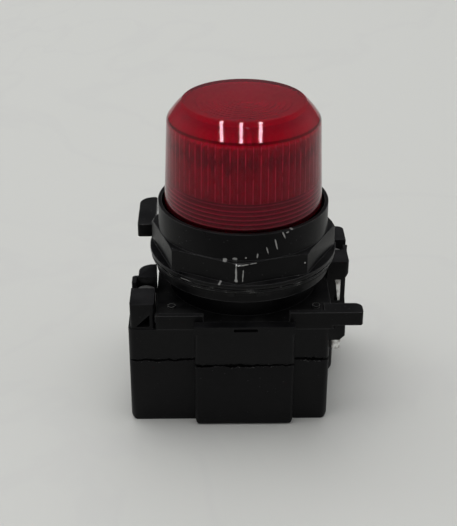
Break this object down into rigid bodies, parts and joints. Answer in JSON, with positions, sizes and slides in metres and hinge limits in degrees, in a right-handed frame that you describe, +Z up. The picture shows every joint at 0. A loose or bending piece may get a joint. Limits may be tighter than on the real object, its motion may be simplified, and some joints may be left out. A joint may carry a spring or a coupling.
{
  "type": "panel pilot light",
  "caption": "Panel indicator light with a fluted red lens on a threaded barrel, an octagonal ring nut and a moulded transformer module with screw terminals.",
  "frame": {"origin": "centre of the lens axis on the underside of the module, on the surface that it rests on", "axes": "+Z up the lens axis; +X to the right of the front that carries the middle block; -Y towards the front"},
  "size_m": [0.0536, 0.0456, 0.0726],
  "materials": {
    "black_moulding": "semi-gloss phenolic moulding",
    "black_coating": "semi-gloss black coating with worn edges",
    "rubber": "matt black rubber",
    "red_lens": "clear red acrylic, fluted inside",
    "lamp_glass": "clear glass",
    "brass": "dull brass",
    "steel": "bright zinc-plated steel",
    "core_steel": "varnished laminations",
    "copper": "enamelled copper wire",
    "bobbin_plastic": "moulded nylon",
    "socket_moulding": "brown-black phenolic",
    "red_wire": "insulated wire",
    "yellow_wire": "insulated wire"
  },
  "bodies": {
    "base": {"lower_housing": "black_moulding", "upper_housing": "black_moulding", "operator_body": "black_coating", "panel_gasket": "rubber", "tab_washer": "black_coating", "socket_shell": "brass", "socket_base": "socket_moulding", "socket_spring": "steel", "transformer_core": "core_steel", "bobbin": "bobbin_plastic", "primary_winding": "copper", "secondary_winding": "copper", "primary_leads": "red_wire", "secondary_leads": "yellow_wire", "left_terminal_plate": "brass", "right_terminal_plate": "brass", "mounting_screw": "steel", "plate_rivets": "steel"},
    "lens_ring": {"lens_gasket": "rubber"},
    "lens": {"lens": "red_lens"},
    "nut_ring": {"thrust_washer": "black_coating"},
    "nut": {"ring_nut": "black_coating"},
    "plunger": {"socket_plunger": "brass"},
    "lamp": {"lamp_bulb": "lamp_glass", "lamp_cap": "brass", "lamp_contact": "steel"},
    "left_clamp_body": {"left_clamp": "steel"},
    "left_screw": {"left_terminal_screw": "steel"},
    "right_clamp_body": {"right_clamp": "steel"},
    "right_screw": {"right_terminal_screw": "steel"}
  },
  "joints": [
    {"name": "lens_lift", "type": "slide", "parent": "base", "child": "lens_ring", "axis": [0, 0, 1], "range_m": [0, 0.00848]},
    {"name": "lens_turn", "type": "hinge", "parent": "lens_ring", "child": "lens", "pos_m": [0, 0, 0.0456], "axis": [0, 0, 1], "range_deg": [0, 2882]},
    {"name": "nut_lift", "type": "slide", "parent": "base", "child": "nut_ring", "axis": [0, 0, 1], "range_m": [0, 0.0019]},
    {"name": "nut_turn", "type": "hinge", "parent": "nut_ring", "child": "nut", "pos_m": [0, 0, 0.036], "axis": [0, 0, 1], "range_deg": [0, 648]},
    {"name": "lamp_press", "type": "slide", "parent": "base", "child": "plunger", "axis": [0, 0, 1], "range_m": [-0.0012, 0], "stiffness_N_per_m": 600, "springref_m": 0.002, "deforming": ["socket_spring"]},
    {"name": "lamp_turn", "type": "hinge", "parent": "plunger", "child": "lamp", "pos_m": [0, 0, 0.0424], "axis": [0, 0, 1], "range_deg": [0, 50]},
    {"name": "left_clamp_lift", "type": "slide", "parent": "base", "child": "left_clamp_body", "axis": [0, 0, 1], "range_m": [0, 0.0018]},
    {"name": "left_screw_turn", "type": "hinge", "parent": "left_clamp_body", "child": "left_screw", "pos_m": [-0.02285, -0.00945, 0.02695], "axis": [0, 0, 1], "range_deg": [0, 1442]},
    {"name": "right_clamp_lift", "type": "slide", "parent": "base", "child": "right_clamp_body", "axis": [0, 0, 1], "range_m": [0, 0.0018]},
    {"name": "right_screw_turn", "type": "hinge", "parent": "right_clamp_body", "child": "right_screw", "pos_m": [0.02285, 0.00945, 0.02695], "axis": [0, 0, 1], "range_deg": [0, 1442]}
  ],
  "couplings": [
    {"joint": "lens_turn", "follows": "lens_lift", "rad_per_m": 5927.5},
    {"joint": "nut_turn", "follows": "nut_lift", "rad_per_m": 5927.5},
    {"joint": "left_screw_turn", "follows": "left_clamp_lift", "rad_per_m": 13963},
    {"joint": "right_screw_turn", "follows": "right_clamp_lift", "rad_per_m": 13963}
  ]
}
